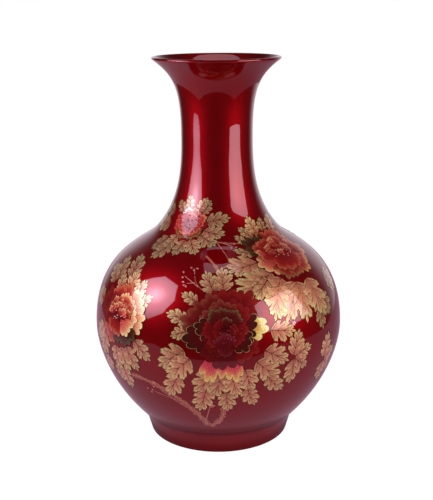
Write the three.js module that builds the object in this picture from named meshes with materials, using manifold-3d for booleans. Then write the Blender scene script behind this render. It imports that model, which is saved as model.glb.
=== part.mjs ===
// A bottle-shaped porcelain vase with a round belly, a tall neck and a flared mouth.
//
// The clay body is four sections thrown apart and joined with slip: a foot ring, a lower bowl,
// an upper bowl and a neck. A red pearl coat covers the outside and the throat, a clear glaze
// lines the rest of the inside and the recess under the foot, and printed film transfers of
// peonies lie on the coat.
//
// Units are millimetres. +Z is up and is the axis of the vase, the origin is the centre of the
// foot on the table, and the front is -Y. Every turned piece is a lathe with the same sides, so
// that neighbours share their facets exactly.

import * as THREE from 'three';
import { mergeVertices } from 'three/addons/utils/BufferGeometryUtils.js';
import Module from 'manifold-3d';

// ---- Driving dimensions ----

const HEIGHT = 400;
const FOOT_RADIUS = 74.5;
const CREASE = { radius: 81, height: 22.7, rise: 44.4 }; // where the foot meets the belly
const BELLY = { radius: 130.8, height: 123 }; // the widest ring
const SHOULDER = { radius: 66.3, height: 222.7, rise: 133.5 }; // where the belly turns into the neck
const WAIST = { radius: 36.8, height: 324.2 }; // the narrowest ring
const LIP = { radius: 65.5, rise: 37, thickness: 3 }; // the rounded rim

const WALL = { crease: 6.5, belly: 5.5, shoulder: 5, waist: 4.5 }; // glaze to glaze
const GLAZE = 0.5; // thickness of the coat and of the clear glaze
const FLOOR_TOP = 27.4;
const FOOT_JOINT = 20; // height of the luted joint on the foot ring, and of the recess
const BELLY_STEP = 4; // how much taller the inner half of the belly joint stands
const SLIP = 0.8; // thickness of the slip in a joint
const FOOT_INNER_RADIUS = 63.5;
const FOOT_EDGE = 1.2; // chamfer of the bare rim that touches the table
const COAT_DEPTH = 60; // how far the red coat runs down inside the mouth
const BASE_GLAZE_RADIUS = 63;

const TRANSFER_GAP = 0.3;
const TRANSFER_THICKNESS = 0.4;
const TRANSFER_BAND = { low: 30, high: 275 }; // the heights that the transfers lie between

const SIDES = 36;
const STEPS = 5; // straight stretches of equal length along each curve of the profile
const LIP_STEPS = 4;
const PRISM_REACH = 30; // how far a transfer's cutting outline reaches in and out of the surface

// ---- Materials ----

function finish(colour, roughness, metalness = 0) {
  return new THREE.MeshStandardMaterial({ color: colour, roughness, metalness });
}

const porcelain = finish(0xebe7dd, 0.6);
const driedSlip = finish(0xd9d2c3, 0.8);
const pearlRed = finish(0x6e0810, 0.15, 0.5);
const clearGlaze = finish(0xe6ebe8, 0.1);
const gilt = finish(0xc39a4e, 0.35, 0.6);
const petalRed = finish(0xa3192a, 0.35, 0.3);

// ---- The profile: [radius, height] points, from the foot up ----

const degrees = THREE.MathUtils.degToRad;

function point(radius, height) {
  return new THREE.Vector2(radius, height);
}

function at({ radius, height }) {
  return point(radius, height);
}

function heading(angle, length = 1) {
  return point(Math.cos(degrees(angle)) * length, Math.sin(degrees(angle)) * length);
}

// A cubic curve from one point and heading to another, with the length of each handle.
function sweep(start, startRise, startHandle, end, endRise, endHandle) {
  const first = start.clone().add(heading(startRise, startHandle));
  const second = end.clone().sub(heading(endRise, endHandle));
  return new THREE.CubicBezierCurve(start, first, second, end);
}

const UPRIGHT = 90;
const lipRound = LIP.thickness / 2;
const lipCentre = point(LIP.radius - lipRound, HEIGHT - lipRound);
const lipOuter = lipCentre.clone().add(heading(LIP.rise - UPRIGHT, lipRound));

const sweeps = [
  {
    curve: sweep(at(CREASE), CREASE.rise, 54.5, at(BELLY), UPRIGHT, 20.4),
    walls: [WALL.crease, WALL.belly],
  },
  {
    curve: sweep(at(BELLY), UPRIGHT, 75, at(SHOULDER), SHOULDER.rise, 19.6),
    walls: [WALL.belly, WALL.shoulder],
  },
  {
    curve: sweep(at(SHOULDER), SHOULDER.rise, 42.2, at(WAIST), UPRIGHT, 31.5),
    walls: [WALL.shoulder, WALL.waist],
  },
  {
    curve: sweep(at(WAIST), UPRIGHT, 46.3, lipOuter, LIP.rise, 25.3),
    walls: [WALL.waist, LIP.thickness],
  },
];

// The finished surface, outside and inside, as it is with the coat and the glaze on.
const outside = [point(FOOT_RADIUS, 0), at(CREASE)];
const inside = [];
for (const { curve, walls } of sweeps) {
  for (let step = 1; step <= STEPS; step += 1) {
    const t = step / STEPS;
    const onSurface = curve.getPointAt(t);
    const tangent = curve.getTangentAt(t);
    const wall = THREE.MathUtils.lerp(walls[0], walls[1], t);
    outside.push(onSurface);
    inside.push(onSurface.clone().add(point(-tangent.y, tangent.x).multiplyScalar(wall)));
  }
}

const floorSweep = sweep(point(0, FLOOR_TOP), 0, 45, inside[0], 47, 12);
inside.unshift(...floorSweep.getPoints(STEPS - 1).slice(0, -1));

const lip = [];
for (let step = 1; step < LIP_STEPS; step += 1) {
  const angle = LIP.rise - UPRIGHT + (step / LIP_STEPS) * 2 * UPRIGHT;
  lip.push(lipCentre.clone().add(heading(angle, lipRound)));
}

// Moves a line of points to its left by a distance, with mitred corners.
function shifted(points, distance) {
  const normals = points.slice(1).map((end, index) => {
    const along = end.clone().sub(points[index]).normalize();
    return point(-along.y, along.x);
  });
  return points.map((place, index) => {
    const before = normals[Math.max(index - 1, 0)];
    const after = normals[Math.min(index, normals.length - 1)];
    const mitre = before.clone().add(after).divideScalar(1 + before.dot(after));
    return place.clone().add(mitre.multiplyScalar(distance));
  });
}

const down = (points) => [...points].reverse();

// A rising line of points with a point added at each of the heights.
function withHeights(points, heights) {
  const added = heights.map((height) => {
    const next = points.findIndex((place) => place.y > height);
    const [below, above] = [points[next - 1], points[next]];
    return point(0, height).setX(
      THREE.MathUtils.mapLinear(height, below.y, above.y, below.x, above.x),
    );
  });
  return [...points, ...added].sort((one, other) => one.y - other.y);
}

// The part of a rising line of points from one height to another.
function between(points, low, high) {
  return points.filter((place) => place.y >= low && place.y <= high);
}

// ---- Where the clay sections meet ----

const footTop = FOOT_JOINT - SLIP / 2;
const bowlBottom = FOOT_JOINT + SLIP / 2;
const bellyLow = BELLY.height - SLIP / 2;
const bellyHigh = BELLY.height + SLIP / 2;
const bellyMiddle = BELLY.radius - WALL.belly / 2;
const neckLow = SHOULDER.height - SLIP / 2;
const neckHigh = SHOULDER.height + SLIP / 2;
const coatEnd = HEIGHT - COAT_DEPTH;

// The clay surface lies one glaze thickness under the finished surface, all the way round.
const clay = shifted([...outside, ...lip, ...down(inside)], GLAZE);
const clayLip = clay.slice(outside.length, outside.length + lip.length);
const clayOutside = withHeights(clay.slice(0, outside.length), [
  FOOT_EDGE,
  footTop,
  bowlBottom,
  bellyLow,
  bellyHigh,
  neckLow,
  neckHigh,
]);
const clayInside = withHeights(down(clay.slice(-inside.length)), [
  bellyLow + BELLY_STEP,
  bellyHigh + BELLY_STEP,
  neckLow,
  neckHigh,
  coatEnd,
]);
clayInside[0].setX(0);
const finishOutside = withHeights(outside, [FOOT_EDGE]);
const finishInside = withHeights(inside, [coatEnd]);

// ---- Making pieces ----

const vase = new THREE.Group();

function addPiece(name, geometry, material) {
  const mesh = new THREE.Mesh(geometry, material);
  mesh.name = name;
  vase.add(mesh);
}

// A closed outline turned round the axis; an outline that starts and ends on the axis stays open
// there. Clay outlines run anticlockwise and the outlines of what lies against them clockwise, so
// both sides of a contact split each facet into the same two triangles.
function latheGeometry(outline) {
  const onAxis = outline[0].x === 0 && outline.at(-1).x === 0;
  const loop = onAxis ? outline : [...outline, outline[0].clone()];
  const geometry = new THREE.LatheGeometry(loop, SIDES).rotateX(Math.PI / 2);
  if (THREE.ShapeUtils.area(outline) < 0) {
    const corners = geometry.index.array;
    for (let first = 0; first < corners.length; first += 3) {
      [corners[first + 1], corners[first + 2]] = [corners[first + 2], corners[first + 1]];
    }
  }
  return geometry;
}

function turn(name, material, outline) {
  addPiece(name, latheGeometry(outline), material);
}

// ---- Clay sections and the slip between them ----

// The stepped edge of a bowl at the belly, from the outside in: its outer half lies at one
// height and its inner half stands a step taller.
function bellyEdge(height, middle) {
  const outerCorner = between(clayOutside, height, height);
  const innerCorner = between(clayInside, height + BELLY_STEP, height + BELLY_STEP);
  const step = [point(middle, height), point(middle, height + BELLY_STEP)];
  return [...outerCorner, ...step, ...innerCorner];
}

const lowerEdge = bellyEdge(bellyLow, bellyMiddle - SLIP / 2);
const upperEdge = bellyEdge(bellyHigh, bellyMiddle + SLIP / 2);

turn('foot_ring', porcelain, [
  point(FOOT_RADIUS - GLAZE - FOOT_EDGE, 0),
  ...between(clayOutside, FOOT_EDGE, footTop),
  point(FOOT_INNER_RADIUS, footTop),
  point(FOOT_INNER_RADIUS, FOOT_EDGE),
  point(FOOT_INNER_RADIUS + FOOT_EDGE, 0),
]);

turn('foot_slip_seam', driedSlip, down([
  ...between(clayOutside, footTop, bowlBottom),
  point(FOOT_INNER_RADIUS, bowlBottom),
  point(FOOT_INNER_RADIUS, footTop),
]));

turn('lower_bowl', porcelain, [
  point(0, bowlBottom),
  point(BASE_GLAZE_RADIUS, bowlBottom),
  point(FOOT_INNER_RADIUS, bowlBottom),
  ...between(clayOutside, bowlBottom, bellyLow).slice(0, -1),
  ...lowerEdge,
  ...down(between(clayInside, 0, bellyLow + BELLY_STEP)).slice(1),
]);

turn('belly_slip_seam', driedSlip, down([...down(lowerEdge), ...upperEdge]));

turn('upper_bowl', porcelain, [
  ...down(upperEdge),
  ...between(clayOutside, bellyHigh, neckLow).slice(1),
  ...down(between(clayInside, bellyHigh + BELLY_STEP, neckLow)).slice(0, -1),
]);

turn('neck_slip_seam', driedSlip, down([
  ...between(clayOutside, neckLow, neckHigh),
  ...down(between(clayInside, neckLow, neckHigh)),
]));

turn('neck', porcelain, [
  ...between(clayOutside, neckHigh, HEIGHT),
  ...clayLip,
  ...down(between(clayInside, neckHigh, HEIGHT)),
]);

// ---- Coat and glazes ----

turn('red_coat', pearlRed, down([
  ...between(finishOutside, FOOT_EDGE, HEIGHT),
  ...lip,
  ...down(between(finishInside, coatEnd, HEIGHT)),
  ...between(clayInside, coatEnd, HEIGHT),
  ...down(clayLip),
  ...down(between(clayOutside, FOOT_EDGE, HEIGHT)),
]));

turn('liner_glaze', clearGlaze, down([
  ...between(clayInside, 0, coatEnd),
  ...down(between(finishInside, 0, coatEnd)),
]));

turn('base_glaze', clearGlaze, down([
  point(0, bowlBottom - GLAZE),
  point(BASE_GLAZE_RADIUS, bowlBottom - GLAZE),
  point(BASE_GLAZE_RADIUS, bowlBottom),
  point(0, bowlBottom),
]));

// ---- Transfers: thin films over the coat, cut to an outline ----

const wasm = await Module();
wasm.setup();

function solidOf(geometry) {
  const bare = geometry.clone();
  bare.deleteAttribute('normal');
  bare.deleteAttribute('uv');
  const merged = mergeVertices(bare);
  return new wasm.Manifold(
    new wasm.Mesh({
      numProp: 3,
      vertProperties: new Float32Array(merged.attributes.position.array),
      triVerts: new Uint32Array(merged.index.array),
    }),
  );
}

function geometryOf(solid) {
  const mesh = solid.getMesh();
  const geometry = new THREE.BufferGeometry();
  geometry.setAttribute('position', new THREE.BufferAttribute(mesh.vertProperties, 3));
  geometry.setIndex(new THREE.BufferAttribute(mesh.triVerts, 1));
  return geometry;
}

const filmSides = [TRANSFER_GAP, TRANSFER_GAP + TRANSFER_THICKNESS].map((lift) =>
  between(shifted(outside, -lift), TRANSFER_BAND.low, TRANSFER_BAND.high),
);
const film = solidOf(latheGeometry([...filmSides[1], ...down(filmSides[0])]));

// The frame of the surface at an azimuth, counted from the front towards +X, and a height:
// x runs round the vase, y up its surface and z out of it.
function surfaceFrame(azimuth, height) {
  const next = outside.findIndex((place) => place.y > height);
  const [below, above] = [outside[next - 1], outside[next]];
  const place = below.clone().lerp(above, (height - below.y) / (above.y - below.y));
  const slope = above.clone().sub(below).normalize();
  const outward = new THREE.Vector3(Math.sin(degrees(azimuth)), -Math.cos(degrees(azimuth)), 0);
  const along = new THREE.Vector3(-outward.y, outward.x, 0);
  const up = outward.clone().multiplyScalar(slope.x).setZ(slope.y);
  const frame = new THREE.Matrix4().makeBasis(along, up, along.clone().cross(up));
  return frame.setPosition(outward.multiplyScalar(place.x).setZ(place.y));
}

function transfer(name, material, { azimuth, height }, outline) {
  const prism = new THREE.ExtrudeGeometry(new THREE.Shape(outline), {
    depth: 2 * PRISM_REACH,
    bevelEnabled: false,
  });
  prism.translate(0, 0, -PRISM_REACH).applyMatrix4(surfaceFrame(azimuth, height));
  addPiece(name, geometryOf(film.intersect(solidOf(prism))), material);
}

// A round outline with shallow lobes, as film is trimmed round a flower and its leaves.
const LOBE_DEPTH = 0.12;
const POINTS_PER_LOBE = 4;

function rosette(radius, lobes) {
  const count = lobes * POINTS_PER_LOBE;
  return Array.from({ length: count }, (_, index) => {
    const angle = (index / count) * 360;
    const dip = LOBE_DEPTH * Math.sin(degrees((angle * lobes) / 2)) ** 2;
    return heading(angle, radius * (1 - dip));
  });
}

// A band along a bent line that narrows towards its far end.
const BAND_STEPS = 8;

function taperedBand(start, bend, end, startWidth, endWidth) {
  const line = new THREE.QuadraticBezierCurve(start, bend, end);
  const edge = (side) =>
    Array.from({ length: BAND_STEPS + 1 }, (_, step) => {
      const t = step / BAND_STEPS;
      const tangent = line.getTangent(t);
      const halfWidth = THREE.MathUtils.lerp(startWidth, endWidth, t) / 2;
      return line.getPoint(t).add(point(tangent.y, -tangent.x).multiplyScalar(side * halfWidth));
    });
  return [...edge(1), ...down(edge(-1))];
}

transfer('centre_peony_transfer', petalRed, { azimuth: 2, height: 142 }, rosette(58, 9));
transfer('left_peony_transfer', petalRed, { azimuth: -50, height: 158 }, rosette(40, 7));
transfer('right_peony_transfer', petalRed, { azimuth: 48, height: 205 }, rosette(40, 7));
transfer('neck_peony_transfer', petalRed, { azimuth: -32, height: 236 }, rosette(24, 6));
transfer('side_leaf_transfer', gilt, { azimuth: 54, height: 135 }, rosette(30, 5));
transfer('back_peony_transfer', petalRed, { azimuth: 175, height: 150 }, rosette(52, 8));
transfer('back_left_leaf_transfer', gilt, { azimuth: -118, height: 168 }, rosette(34, 6));
transfer('back_right_leaf_transfer', gilt, { azimuth: 118, height: 168 }, rosette(34, 6));
transfer(
  'branch_transfer',
  gilt,
  { azimuth: -21, height: 80 },
  taperedBand(point(26, -44), point(4, 32), point(-38, 30), 9, 5),
);

export default vase;
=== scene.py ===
"""Looks of a bottle-shaped porcelain vase: a red pearl coat with gilt and red peony film on it.

Lengths are in millimetres until a mesh is made, which is in metres, in the frame of the CAD
model: +Z is the axis of the vase, the origin is the centre of the foot and the front is -Y.
An azimuth is counted in degrees from the front towards +X.
"""

import math
import random

import bpy
import numpy as np
from mathutils import Euler, Matrix, Vector


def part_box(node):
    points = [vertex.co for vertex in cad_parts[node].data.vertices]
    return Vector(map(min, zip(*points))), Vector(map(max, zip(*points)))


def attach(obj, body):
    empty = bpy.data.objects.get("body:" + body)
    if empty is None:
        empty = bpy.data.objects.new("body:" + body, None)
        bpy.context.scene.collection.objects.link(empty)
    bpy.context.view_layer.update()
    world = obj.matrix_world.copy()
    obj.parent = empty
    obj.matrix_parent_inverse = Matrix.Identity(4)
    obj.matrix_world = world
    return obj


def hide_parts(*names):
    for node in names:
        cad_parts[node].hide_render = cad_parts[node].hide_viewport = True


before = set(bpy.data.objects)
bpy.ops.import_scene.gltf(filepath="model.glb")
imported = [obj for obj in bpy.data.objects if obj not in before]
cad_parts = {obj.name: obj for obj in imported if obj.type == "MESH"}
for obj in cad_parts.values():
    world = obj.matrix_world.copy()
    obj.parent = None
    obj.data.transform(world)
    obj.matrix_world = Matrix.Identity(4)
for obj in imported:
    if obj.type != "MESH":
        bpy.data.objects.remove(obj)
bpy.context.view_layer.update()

METRES = 0.001

# ---- The profile of the vase ----

coat_low, coat_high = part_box("red_coat")
HEIGHT = coat_high.z / METRES
FOOT_EDGE = coat_low.z / METRES
BELLY = (coat_high.x / METRES, 123.0)
FOOT_RADIUS = 74.5
FOOT_INNER_RADIUS = 63.5
FOOT_JOINT = 20.0
CREASE = (81.0, 22.7)
CREASE_RISE = 44.4
SHOULDER = (66.3, 222.7)
SHOULDER_RISE = 133.5
WAIST = (36.8, 324.2)
LIP_RADIUS = 65.5
LIP_RISE = 37.0
LIP_ROUND = 1.5
WALLS = (6.5, 5.5, 5.0, 4.5, 3.0)  # at the crease, belly, shoulder, waist and lip
GLAZE = 0.5
FLOOR_TOP = 27.4
SLIP = 0.8
BELLY_STEP = 4.0
COAT_DEPTH = 60.0
BASE_GLAZE_RADIUS = 63.0
SIDES = 160
STEPS = 26  # rings along each curve of the profile
FOOT_STEPS = 8
WALL_START = 8  # the ring of the lowest curve at which the inside wall meets the floor

# How far each curve's handles reach at its lower and upper end.
BOWL_HANDLES = (54.5, 20.4)
SHOULDER_HANDLES = (75.0, 19.6)
NECK_HANDLES = (42.2, 31.5)
MOUTH_HANDLES = (46.3, 25.3)
FLOOR_HANDLES = (45, 16)
FLOOR_RISE = 50


def heading(angle, length=1.0):
    turn = math.radians(angle)
    return np.array([math.cos(turn), math.sin(turn)]) * length


def sweep(start, rise, handle, end, end_rise, end_handle, steps=STEPS):
    """Evenly spaced points on a cubic curve from one point and heading to another."""
    corners = [
        np.array(start),
        np.array(start) + heading(rise, handle),
        np.array(end) - heading(end_rise, end_handle),
        np.array(end),
    ]
    t = np.linspace(0, 1, steps * 16 + 1)[:, None]
    weights = [(1 - t) ** 3, 3 * t * (1 - t) ** 2, 3 * t * t * (1 - t), t**3]
    fine = sum(weight * corner for weight, corner in zip(weights, corners))
    run = distances(fine)
    even = np.linspace(0, run[-1], steps + 1)
    return np.stack([np.interp(even, run, fine[:, axis]) for axis in (0, 1)], axis=1)


def distances(line):
    """How far each point of a line is from its start, along it."""
    return np.concatenate([[0], np.cumsum(np.linalg.norm(np.diff(line, axis=0), axis=1))])


def left_of(line):
    """The unit vector to the left of a line, at each of its points."""
    along = np.gradient(line, axis=0)
    along /= np.linalg.norm(along, axis=1)[:, None]
    return np.stack([-along[:, 1], along[:, 0]], axis=1)


def between(line, low, high):
    """The stretch of a rising line from one height to another, both ends included."""
    ends = [[np.interp(height, line[:, 1], line[:, 0]), height] for height in (low, high)]
    inner = line[(line[:, 1] > low + 0.01) & (line[:, 1] < high - 0.01)]
    return np.vstack([ends[0], inner, ends[1]])


LIP_CENTRE = np.array([LIP_RADIUS - LIP_ROUND, HEIGHT - LIP_ROUND])
LIP_OUTER = LIP_CENTRE + heading(LIP_RISE - 90, LIP_ROUND)
CURVES = [
    sweep(CREASE, CREASE_RISE, BOWL_HANDLES[0], BELLY, 90, BOWL_HANDLES[1]),
    sweep(BELLY, 90, SHOULDER_HANDLES[0], SHOULDER, SHOULDER_RISE, SHOULDER_HANDLES[1]),
    sweep(SHOULDER, SHOULDER_RISE, NECK_HANDLES[0], WAIST, 90, NECK_HANDLES[1]),
    sweep(WAIST, 90, MOUTH_HANDLES[0], LIP_OUTER, LIP_RISE, MOUTH_HANDLES[1]),
]
BODY_LINE = np.vstack([CURVES[0]] + [curve[1:] for curve in CURVES[1:]])
FOOT_LINE = np.linspace((FOOT_RADIUS, 0.0), CREASE, FOOT_STEPS + 1)[:-1]
OUTSIDE = np.vstack([FOOT_LINE, BODY_LINE])
WALL_LINE = np.interp(np.arange(len(BODY_LINE)) / STEPS, range(len(WALLS)), WALLS)
INSIDE_WALL = (BODY_LINE + left_of(BODY_LINE) * WALL_LINE[:, None])[WALL_START:]
FLOOR_CURVE = sweep(
    (0.0, FLOOR_TOP), 0, FLOOR_HANDLES[0], INSIDE_WALL[0], FLOOR_RISE, FLOOR_HANDLES[1], steps=12
)
INSIDE = np.vstack([FLOOR_CURVE[:-1], INSIDE_WALL])


def lip_arc(radius):
    """The round of the lip, from its outer side over the top to its inner side."""
    turns = np.linspace(LIP_RISE - 90, LIP_RISE + 90, 11)[1:-1]
    return np.array([LIP_CENTRE + heading(turn, radius) for turn in turns])


# The clay lies one glaze thickness under the finished surface.
CLAY_OUTSIDE = OUTSIDE + left_of(OUTSIDE) * GLAZE
CLAY_INSIDE = INSIDE - left_of(INSIDE) * GLAZE
CLAY_INSIDE[0, 0] = 0.0


def on_vase(azimuth, height, x, y, lift):
    """Points in millimetres round and up the surface from an azimuth and height, and lifted off it."""
    line = OUTSIDE
    run = distances(line)
    place = np.interp(height, line[:, 1], run) + np.asarray(y, float)
    radius = np.interp(place, run, line[:, 0])
    level = np.interp(place, run, line[:, 1])
    outward = -left_of(line)
    lean = np.stack([np.interp(place, run, outward[:, axis]) for axis in (0, 1)], axis=-1)
    turn = math.radians(azimuth) + np.asarray(x, float) / radius
    reach = radius + lean[..., 0] * lift
    return np.stack([np.sin(turn) * reach, -np.cos(turn) * reach, level + lean[..., 1] * lift], axis=-1)


# ---- Node helpers ----


def srgb(red, green, blue):
    """A colour given as 0 to 255 display values, as the linear numbers that Blender uses."""
    def linear(value):
        share = value / 255
        return share / 12.92 if share <= 0.04045 else ((share + 0.055) / 1.055) ** 2.4

    return (linear(red), linear(green), linear(blue))


def new_material(name, **sockets):
    """A material with its Principled node's sockets set, and that node's tree."""
    material = bpy.data.materials.new(name)
    material.use_nodes = True
    surface = material.node_tree.nodes["Principled BSDF"]
    for socket, value in sockets.items():
        surface.inputs[socket.replace("_", " ")].default_value = value
    return material, material.node_tree


def node(tree, kind, inputs=None, **settings):
    made = tree.nodes.new("ShaderNode" + kind)
    for name, value in settings.items():
        setattr(made, name, value)
    for name, value in (inputs or {}).items():
        if isinstance(value, bpy.types.NodeSocket):
            tree.links.new(value, made.inputs[name])
        else:
            made.inputs[name].default_value = value
    return made


def noise(tree, grain, detail=2.0, stretch=(1, 1, 1)):
    """Noise with grains of about that many millimetres, from 0 to 1."""
    place = node(tree, "TexCoord").outputs["Object"]
    scaled = node(tree, "VectorMath", {0: place, 1: stretch}, operation="MULTIPLY").outputs["Vector"]
    settings = {"Vector": scaled, "Scale": 1 / (grain * METRES), "Detail": detail}
    return node(tree, "TexNoise", settings).outputs["Fac"]


def spread(tree, value, low, high, to_low=0.0, to_high=1.0):
    """The value between low and high, moved smoothly to between to_low and to_high."""
    settings = {"Value": value, "From Min": low, "From Max": high, "To Min": to_low, "To Max": to_high}
    return node(tree, "MapRange", settings, interpolation_type="SMOOTHSTEP").outputs["Result"]


def times(tree, one, other):
    return node(tree, "Math", {0: one, 1: other}, operation="MULTIPLY").outputs["Value"]


def blended(tree, share, first, second):
    """A colour between two others."""
    made = node(tree, "Mix", data_type="RGBA")
    for socket, value in zip((made.inputs[0], made.inputs[6], made.inputs[7]), (share, first, second)):
        if isinstance(value, bpy.types.NodeSocket):
            tree.links.new(value, socket)
        else:
            socket.default_value = (*value, 1) if isinstance(value, tuple) else value
    return made.outputs[2]


def feed(tree, **sockets):
    """Links outputs to the Principled node's sockets."""
    surface = tree.nodes["Principled BSDF"]
    for socket, output in sockets.items():
        tree.links.new(output, surface.inputs[socket.replace("_", " ")])


def stored(tree, name, output="Fac"):
    return node(tree, "Attribute", attribute_name=name).outputs[output]


# ---- Materials ----


def pearl_red():
    """Deep red lacquer: mica flakes in red under a clear glossy coat."""
    material, tree = new_material(
        "pearl red lacquer",
        Metallic=0.8,
        Specular_IOR_Level=0.1,
        Specular_Tint=(0.30, 0.02, 0.03, 1.0),
        Coat_Weight=1.0,
        Coat_Roughness=0.012,
        Coat_IOR=1.5,
    )
    flakes = spread(tree, noise(tree, 0.45, 3.0), 0.35, 0.7)
    cloud = spread(tree, noise(tree, 22.0, 3.0), 0.3, 0.7)
    shade = blended(tree, flakes, (0.205, 0.0006, 0.002), (0.265, 0.0015, 0.004))
    deep = blended(tree, cloud, (0.215, 0.0004, 0.002), (0.255, 0.0012, 0.004))
    feed(tree, Base_Color=blended(tree, 0.5, shade, deep))
    feed(tree, Roughness=spread(tree, flakes, 0, 1, 0.40, 0.46))
    return material


def clear_glaze():
    """White porcelain seen through a clear glaze with the faintest blue and a few pinholes."""
    material, tree = new_material("clear glaze", Coat_Weight=0.8, Coat_Roughness=0.05)
    cloud = spread(tree, noise(tree, 18.0, 4.0), 0.3, 0.7)
    white = blended(tree, cloud, srgb(222, 224, 219), srgb(236, 236, 230))
    specks = spread(tree, noise(tree, 1.2, 1.0), 0.72, 0.78)
    feed(tree, Base_Color=blended(tree, specks, white, srgb(176, 168, 152)))
    feed(tree, Roughness=spread(tree, cloud, 0, 1, 0.18, 0.26))
    return material


def bare_clay(name, light, dark, roughness):
    """Fired clay with a fine sandy grain and faint turning rings."""
    material, tree = new_material(name)
    grain = noise(tree, 0.6, 4.0)
    rings = noise(tree, 2.0, 2.0, stretch=(0.05, 0.05, 1.0))
    speckled = blended(tree, spread(tree, grain, 0.3, 0.75), dark, light)
    feed(tree, Base_Color=blended(tree, spread(tree, rings, 0.6, 0.8, 0.0, 0.35), speckled, dark))
    feed(tree, Roughness=spread(tree, grain, 0.2, 0.8, roughness, roughness + 0.15))
    bump = node(tree, "Bump", {"Height": grain, "Strength": 0.25, "Distance": 0.0001})
    feed(tree, Normal=bump.outputs["Normal"])
    return material


def biscuit():
    return bare_clay("biscuit porcelain", srgb(236, 230, 219), srgb(205, 196, 180), 0.6)


def dried_slip():
    return bare_clay("dried slip", srgb(219, 211, 196), srgb(188, 178, 160), 0.75)


def ink(name, metallic, roughness, fleck):
    """Metallic ink in the stored colours, mottled and flecked, under the gloss of the coat."""
    material, tree = new_material(
        name,
        Metallic=metallic,
        Specular_IOR_Level=0.08,
        Coat_Weight=1.0,
        Coat_Roughness=0.02,
        Coat_IOR=1.5,
    )
    colour = stored(tree, "tint", "Color")
    grain = noise(tree, 0.7, 3.0)
    darker = node(tree, "VectorMath", {0: colour, 1: (0.7, 0.55, 0.55)}, operation="MULTIPLY")
    mottled = blended(tree, spread(tree, grain, 0.35, 0.7), darker.outputs["Vector"], colour)
    spots = spread(tree, noise(tree, 0.9, 1.0, stretch=(1.3, 1.0, 0.8)), 0.66, 0.74, 0.0, fleck)
    feed(tree, Base_Color=blended(tree, spots, mottled, srgb(236, 206, 150)))
    feed(tree, Roughness=spread(tree, grain, 0.3, 0.7, roughness, roughness + 0.12))
    bump = node(tree, "Bump", {"Height": grain, "Strength": 0.3, "Distance": 0.0001})
    feed(tree, Normal=bump.outputs["Normal"])
    return material


def leaf_ink():
    return ink("gilt leaf ink", 0.5, 0.34, 0.5)


def petal_ink():
    return ink("petal ink", 0.4, 0.4, 0.03)


def bark_ink():
    return ink("bark ink", 0.45, 0.4, 0.35)


# ---- Turned pieces ----


def new_piece(name, points, faces, material, smooth=True):
    """A piece of the vase as a mesh, from points in millimetres."""
    mesh = bpy.data.meshes.new(name)
    mesh.from_pydata((np.asarray(points) * METRES).tolist(), [], faces)
    mesh.materials.append(material)
    mesh.polygons.foreach_set("use_smooth", [smooth] * len(mesh.polygons))
    mesh.validate()
    piece = bpy.data.objects.new(name, mesh)
    bpy.context.scene.collection.objects.link(piece)
    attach(piece, "root")
    return piece


def turned(name, outline, material, sharp=35):
    """A closed outline of [radius, height] points turned round the axis, for the node of that name."""
    outline = np.asarray(outline, float)
    area = np.sum(outline[:, 0] * np.roll(outline[:, 1], -1) - np.roll(outline[:, 0], -1) * outline[:, 1])
    if area < 0:
        outline = outline[::-1]
    points, rings = [], []
    for radius, height in outline:
        if radius < 0.01:
            rings.append([len(points)] * SIDES)
            points.append((0, 0, height))
            continue
        rings.append(list(range(len(points), len(points) + SIDES)))
        for side in range(SIDES):
            turn = 2 * math.pi * side / SIDES
            points.append((radius * math.cos(turn), radius * math.sin(turn), height))
    faces = []
    for ring, following in zip(rings, rings[1:] + rings[:1]):
        if ring[0] == ring[1] and following[0] == following[1]:
            continue
        for side in range(SIDES):
            other = (side + 1) % SIDES
            corners = [ring[side], ring[other], following[other], following[side]]
            faces.append(list(dict.fromkeys(corners)))
    piece = new_piece(name + "_turned", points, faces, material)
    piece.data.set_sharp_from_angle(angle=math.radians(sharp))
    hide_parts(name)
    return piece


def down(line):
    return np.asarray(line)[::-1]


def bowl_edge(height, middle):
    """The stepped edge of a bowl at the belly, from the outside in."""
    outer = between(CLAY_OUTSIDE, height, HEIGHT)[0]
    inner = between(CLAY_INSIDE, height + BELLY_STEP, HEIGHT)[0]
    return np.array([outer, (middle, height), (middle, height + BELLY_STEP), inner])


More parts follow.
